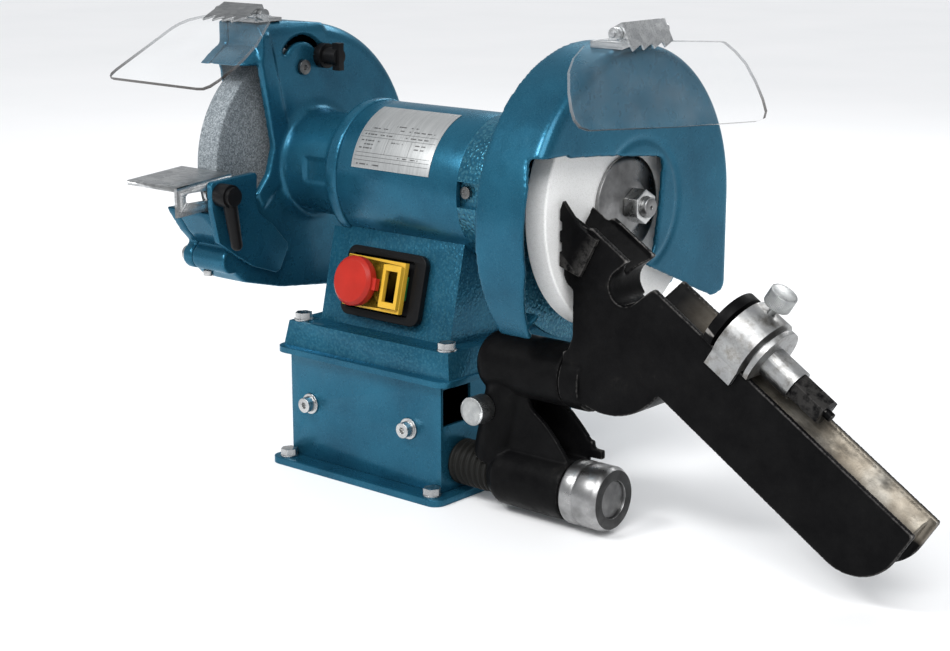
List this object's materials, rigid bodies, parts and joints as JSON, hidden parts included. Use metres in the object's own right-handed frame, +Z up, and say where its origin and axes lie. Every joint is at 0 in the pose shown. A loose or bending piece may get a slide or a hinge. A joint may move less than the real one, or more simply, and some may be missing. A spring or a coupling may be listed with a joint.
{
  "type": "bench grinder",
  "caption": "Double-ended bench grinder on a box base, with guarded wheels, eye shields, a tool rest and a swinging drill-sharpening trough.",
  "frame": {"origin": "underside of the base plate, below the middle of the base box and in the plane of the spindle", "axes": "+X along the spindle to the white wheel, +Y to the back, +Z up"},
  "size_m": [0.7185, 0.3034, 0.3919],
  "materials": {
    "blue_paint": "blue metallic enamel",
    "bright_zinc": "bright zinc plate",
    "bare_steel": "machined steel",
    "black_casting": "black painted cast iron",
    "lamination": "stacked laminations",
    "copper": "enamelled copper wire",
    "grey_abrasive": "coarse grey bonded abrasive",
    "white_abrasive": "white bonded aluminium oxide",
    "black_plastic": "moulded black plastic",
    "yellow_plastic": "moulded yellow plastic",
    "red_plastic": "moulded red plastic",
    "green_plastic": "moulded green plastic",
    "plate_aluminium": "satin aluminium nameplate",
    "clear_sheet": "clear polycarbonate",
    "black_rubber": "pleated rubber"
  },
  "bodies": {
    "base": {"base_plate": "blue_paint", "base_bolts": "bright_zinc", "base_box": "blue_paint", "box_screws": "bright_zinc", "top_flange": "blue_paint", "pedestal": "blue_paint", "pedestal_bolts": "bright_zinc", "cable_gland": "black_plastic", "switch_bezel": "black_plastic", "switch_body": "black_plastic", "motor_tube": "blue_paint", "nameplate": "plate_aluminium", "stator_core": "lamination", "windings": "copper", "bearing_outer_rings": "bare_steel", "left_housing": "blue_paint", "left_guard_cover": "blue_paint", "left_cover_screws": "bright_zinc", "right_housing": "blue_paint", "right_guard": "blue_paint", "end_shield_screws": "bright_zinc", "rest_bracket": "blue_paint", "rest_stud": "bright_zinc", "spark_pivot_screw": "bare_steel", "left_shield_bracket": "bright_zinc", "right_shield_bracket": "bright_zinc", "guide_bar": "bare_steel", "guide_flange": "bare_steel", "bellows": "black_rubber"},
    "spindle": {"shaft": "bare_steel", "rotor_core": "lamination", "bearing_inner_rings": "bare_steel", "bearing_balls": "bare_steel", "grey_wheel": "grey_abrasive", "white_wheel": "white_abrasive", "inner_flanges": "bare_steel", "outer_flanges": "bare_steel", "spindle_nuts": "bright_zinc"},
    "switch_flap": {"switch_flap": "yellow_plastic"},
    "mushroom": {"stop_mushroom": "red_plastic"},
    "stop_key": {"stop_button": "red_plastic"},
    "start_key": {"start_button": "green_plastic"},
    "tool_rest": {"tool_rest": "bright_zinc"},
    "clamp_lever": {"clamp_lever": "black_plastic"},
    "spark_arrestor": {"spark_arrestor": "bright_zinc"},
    "wing_knob": {"wing_knob": "black_plastic"},
    "left_shield": {"left_shield_holder": "bright_zinc", "left_shield": "clear_sheet"},
    "right_shield": {"right_shield_holder": "bright_zinc", "right_shield": "clear_sheet"},
    "drill_bracket": {"drill_bracket": "black_casting"},
    "feed_ring": {"feed_ring": "bare_steel"},
    "lock_knob": {"lock_knob": "bright_zinc"},
    "swing_arm": {"swing_arm": "black_casting", "lip_rest": "black_casting", "pivot_pin": "bare_steel"},
    "stop_carriage": {"stop_carriage": "bright_zinc", "stop_disc": "black_plastic"},
    "thumb_screw": {"thumb_screw": "bright_zinc"},
    "stop_screw": {"stop_screw": "black_casting"}
  },
  "joints": [
    {"name": "spindle_spin", "type": "hinge", "parent": "base", "child": "spindle", "pos_m": [0, 0, 0.2481], "axis": [1, 0, 0], "continuous": true},
    {"name": "switch_flap_open", "type": "hinge", "parent": "base", "child": "switch_flap", "pos_m": [-0.039, -0.06284, 0.1643], "axis": [0, -0.2419, -0.9703], "range_deg": [0, 95]},
    {"name": "mushroom_press", "type": "slide", "parent": "switch_flap", "child": "mushroom", "axis": [0, 0.9703, -0.2419], "range_m": [0, 0.0035], "stiffness_N_per_m": 900},
    {"name": "stop_press", "type": "slide", "parent": "base", "child": "stop_key", "axis": [0, 0.9703, -0.2419], "range_m": [0, 0.0035], "stiffness_N_per_m": 300},
    {"name": "start_press", "type": "slide", "parent": "base", "child": "start_key", "axis": [0, 0.9703, -0.2419], "range_m": [0, 0.003], "stiffness_N_per_m": 400},
    {"name": "tool_rest_slide", "type": "slide", "parent": "base", "child": "tool_rest", "axis": [0, 1, 0], "range_m": [-0.012, 0]},
    {"name": "clamp_lever_turn", "type": "hinge", "parent": "base", "child": "clamp_lever", "pos_m": [-0.125, -0.121, 0.2335], "axis": [1, 0, 0], "range_deg": [-90, 0]},
    {"name": "spark_arrestor_tilt", "type": "hinge", "parent": "base", "child": "spark_arrestor", "pos_m": [-0.145, -0.0143, 0.3326], "axis": [1, 0, 0], "range_deg": [0, 20]},
    {"name": "wing_knob_turn", "type": "hinge", "parent": "spark_arrestor", "child": "wing_knob", "pos_m": [-0.128, 0.00919, 0.34115], "axis": [1, 0, 0], "range_deg": [0, 90]},
    {"name": "left_shield_tilt", "type": "hinge", "parent": "base", "child": "left_shield", "pos_m": [-0.1625, -0.062, 0.381], "axis": [1, 0, 0], "range_deg": [-63, 8]},
    {"name": "right_shield_tilt", "type": "hinge", "parent": "base", "child": "right_shield", "pos_m": [0.217, -0.005, 0.3834], "axis": [0, 1, 0], "range_deg": [-80, 5]},
    {"name": "bracket_feed", "type": "slide", "parent": "base", "child": "drill_bracket", "axis": [1, 0, 0], "range_m": [-0.001, 0.01], "deforming": ["bellows"]},
    {"name": "feed_ring_turn", "type": "hinge", "parent": "drill_bracket", "child": "feed_ring", "pos_m": [0.223, -0.062, 0.029], "axis": [1, 0, 0], "range_deg": [-180.5, 1800.5]},
    {"name": "lock_knob_turn", "type": "hinge", "parent": "drill_bracket", "child": "lock_knob", "pos_m": [0.127, -0.09, 0.086], "axis": [0, -1, 0], "range_deg": [-180, 180]},
    {"name": "arm_swing", "type": "hinge", "parent": "drill_bracket", "child": "swing_arm", "pos_m": [0.165, -0.06, 0.121], "axis": [1, 0, 0], "range_deg": [-1, 14]},
    {"name": "stop_carriage_slide", "type": "slide", "parent": "swing_arm", "child": "stop_carriage", "axis": [0.8415, 0, -0.5402], "range_m": [-0.025, 0.15]},
    {"name": "thumb_screw_turn", "type": "hinge", "parent": "stop_carriage", "child": "thumb_screw", "pos_m": [0.37417, -0.059, 0.19695], "axis": [0.5402, 0, 0.8415], "range_deg": [-180, 180]},
    {"name": "stop_screw_turn", "type": "hinge", "parent": "stop_carriage", "child": "stop_screw", "pos_m": [0.39396, -0.059, 0.15097], "axis": [0.8415, 0, -0.5402], "range_deg": [-180, 180]}
  ],
  "couplings": [
    {"joint": "stop_press", "follows": "mushroom_press", "ratio": 1},
    {"joint": "feed_ring_turn", "follows": "bracket_feed", "rad_per_m": 3141.6}
  ]
}
